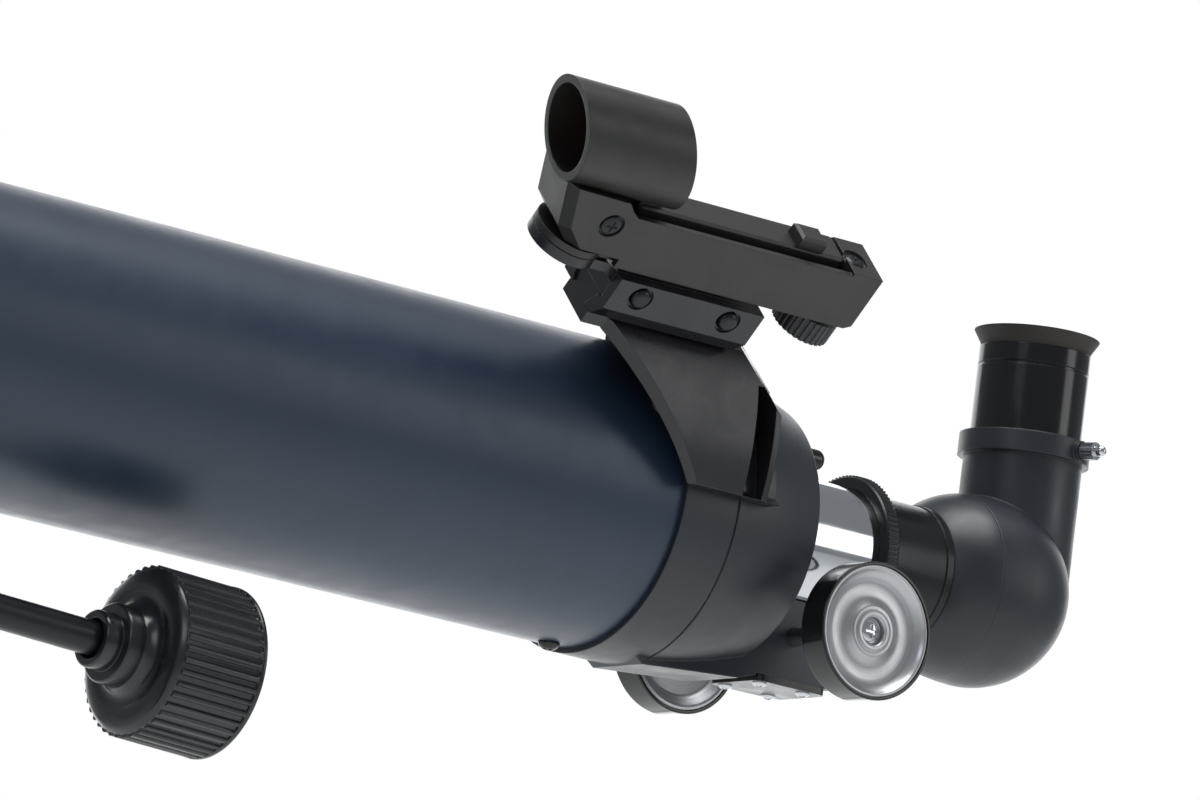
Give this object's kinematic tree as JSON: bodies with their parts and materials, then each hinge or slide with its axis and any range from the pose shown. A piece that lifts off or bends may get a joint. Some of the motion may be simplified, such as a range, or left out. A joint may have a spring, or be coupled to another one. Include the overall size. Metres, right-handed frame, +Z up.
{
  "type": "refractor telescope",
  "caption": "Long refractor telescope with rack-and-pinion focuser, star diagonal, eyepiece and red dot finder on an alt-azimuth head.",
  "frame": {"origin": "centre of the head's underside, on the azimuth axis, at the mouth of the tripod socket", "axes": "+X along the optical tube from the objective to the eyepiece, +Z up along the azimuth axis, +Y to the observer's right"},
  "size_m": [1.0625, 0.1683, 0.3043],
  "materials": {
    "navy_paint": "dark navy metallic lacquer",
    "housing_plastic": "blue-black satin moulded ABS",
    "black_plastic": "semi-gloss black moulded nylon",
    "finder_plastic": "charcoal matte moulded ABS",
    "gloss_black": "glossy black moulded plastic",
    "black_metal": "black anodised or lacquered metal",
    "chrome": "polished chrome plate",
    "turned_aluminium": "turned aluminium",
    "steel": "plain steel",
    "eyecup_rubber": "matte rubber",
    "lens_glass": "coated optical glass",
    "window_glass": "red coated window glass",
    "handle_black": "glossy black moulded grip"
  },
  "bodies": {
    "base": {"azimuth_base": "black_metal"},
    "turret": {"azimuth_body": "black_metal", "altitude_bolt": "steel"},
    "azimuth_lock": {"azimuth_lock_knob": "black_plastic"},
    "optical_tube": {"head_saddle": "black_metal", "dovetail_bar": "black_metal", "dovetail_screws": "steel", "main_tube": "navy_paint", "dew_shield": "housing_plastic", "objective_cell": "housing_plastic", "crown_lens": "lens_glass", "flint_lens": "lens_glass", "lens_spacer": "black_metal", "lens_retaining_ring": "black_metal", "light_baffles": "black_metal", "tube_screws": "gloss_black", "focuser_housing": "housing_plastic", "saddle_cover": "black_plastic", "saddle_screws": "chrome", "finder_bracket": "black_plastic", "bracket_screws": "black_metal", "finder_clamp": "black_plastic", "finder_clamp_plate": "black_plastic", "finder_clamp_bolts": "black_metal"},
    "saddle_lock": {"saddle_knob": "black_plastic"},
    "pan_handle": {"handle_rod": "black_metal", "handle_knob": "handle_black"},
    "focus_shaft": {"pinion_shaft": "steel", "left_focus_rim": "gloss_black", "left_focus_face": "turned_aluminium", "right_focus_rim": "gloss_black", "right_focus_face": "turned_aluminium", "focus_knob_screws": "chrome"},
    "focus_lock": {"focus_lock_screw": "gloss_black"},
    "focuser": {"drawtube": "chrome", "drawtube_rack": "black_plastic", "drawtube_collar": "black_metal", "adapter_tube": "black_metal"},
    "adapter_lock": {"adapter_thumbscrew": "chrome"},
    "diagonal": {"diagonal_barrel": "chrome", "diagonal_front_shell": "housing_plastic", "diagonal_rear_shell": "housing_plastic", "diagonal_prism": "lens_glass"},
    "eyepiece_lock": {"eyepiece_thumbscrew": "chrome"},
    "eyepiece": {"eyepiece_barrel": "chrome", "eyepiece_body": "gloss_black", "field_lens": "lens_glass", "eye_lens": "lens_glass", "eyecup": "eyecup_rubber"},
    "finder_swivel": {"finder_swivel": "finder_plastic"},
    "finder": {"finder_body": "finder_plastic", "finder_rail": "finder_plastic", "finder_tube": "finder_plastic", "finder_window": "window_glass", "finder_window_ring": "black_metal", "finder_light": "finder_plastic", "finder_screws": "black_metal"},
    "finder_altitude": {"finder_altitude_wheel": "black_plastic"},
    "finder_azimuth": {"finder_azimuth_wheel": "black_plastic"},
    "finder_power": {"finder_switch": "black_plastic"}
  },
  "joints": [
    {"name": "azimuth_turn", "type": "hinge", "parent": "base", "child": "turret", "pos_m": [0, 0, 0.03], "axis": [0, 0, 1], "continuous": true},
    {"name": "azimuth_lock_turn", "type": "hinge", "parent": "turret", "child": "azimuth_lock", "pos_m": [0, -0.04, 0.027], "axis": [0, -1, 0], "range_deg": [-180, 0]},
    {"name": "altitude_tilt", "type": "hinge", "parent": "turret", "child": "optical_tube", "pos_m": [0, 0, 0.095], "axis": [0, 1, 0], "range_deg": [-15, 70]},
    {"name": "saddle_lock_turn", "type": "hinge", "parent": "optical_tube", "child": "saddle_lock", "pos_m": [0, 0.04, 0.134], "axis": [0, 1, 0], "range_deg": [-180, 0]},
    {"name": "pan_handle_twist", "type": "hinge", "parent": "optical_tube", "child": "pan_handle", "pos_m": [0, -0.036, 0.11426], "axis": [0.999, 0, -0.0436], "range_deg": [-90, 90]},
    {"name": "drawtube_slide", "type": "slide", "parent": "optical_tube", "child": "focuser", "axis": [1, 0, 0], "range_m": [-0.0035, 0.075]},
    {"name": "focus_turn", "type": "hinge", "parent": "optical_tube", "child": "focus_shaft", "pos_m": [0.48, 0, 0.1632], "axis": [0, 1, 0], "range_deg": [-40.61, 859.94]},
    {"name": "focus_lock_turn", "type": "hinge", "parent": "optical_tube", "child": "focus_lock", "pos_m": [0.4612, -0.02675, 0.21909], "axis": [1, 0, 0], "range_deg": [-180, 0]},
    {"name": "adapter_lock_turn", "type": "hinge", "parent": "focuser", "child": "adapter_lock", "pos_m": [0.5212, 0.0228, 0.195], "axis": [0, 1, 0], "range_deg": [-180, 0]},
    {"name": "diagonal_turn", "type": "hinge", "parent": "focuser", "child": "diagonal", "pos_m": [0.54, 0, 0.195], "axis": [1, 0, 0], "continuous": true},
    {"name": "eyepiece_lock_turn", "type": "hinge", "parent": "diagonal", "child": "eyepiece_lock", "pos_m": [0.58372, -0.02289, 0.2456], "axis": [0.3007, -0.9537, 0], "range_deg": [-180, 0]},
    {"name": "eyepiece_turn", "type": "hinge", "parent": "diagonal", "child": "eyepiece", "pos_m": [0.5765, 0, 0.245], "axis": [0, 0, 1], "continuous": true},
    {"name": "finder_yaw", "type": "hinge", "parent": "optical_tube", "child": "finder_swivel", "pos_m": [0.3293, -0.06364, 0.25864], "axis": [0, -0.7071, 0.7071], "range_deg": [-1.5, 1.5]},
    {"name": "finder_azimuth_turn", "type": "hinge", "parent": "optical_tube", "child": "finder_azimuth", "pos_m": [0.378, -0.0519, 0.265], "axis": [0, 0.7071, 0.7071], "range_deg": [-181, 181]},
    {"name": "finder_tilt", "type": "hinge", "parent": "finder_swivel", "child": "finder", "pos_m": [0.332, -0.07665, 0.27165], "axis": [0, -0.7071, -0.7071], "range_deg": [-1, 1]},
    {"name": "finder_altitude_turn", "type": "hinge", "parent": "finder_swivel", "child": "finder_altitude", "pos_m": [0.431, -0.06173, 0.25673], "axis": [0, -0.7071, 0.7071], "range_deg": [-361, 361]},
    {"name": "finder_switch_slide", "type": "slide", "parent": "finder", "child": "finder_power", "axis": [1, 0, 0], "range_m": [0, 0.004]}
  ],
  "couplings": [
    {"joint": "focus_turn", "follows": "drawtube_slide", "rad_per_m": 200},
    {"joint": "finder_azimuth_turn", "follows": "finder_yaw", "ratio": 120},
    {"joint": "finder_altitude_turn", "follows": "finder_tilt", "ratio": 360}
  ]
}
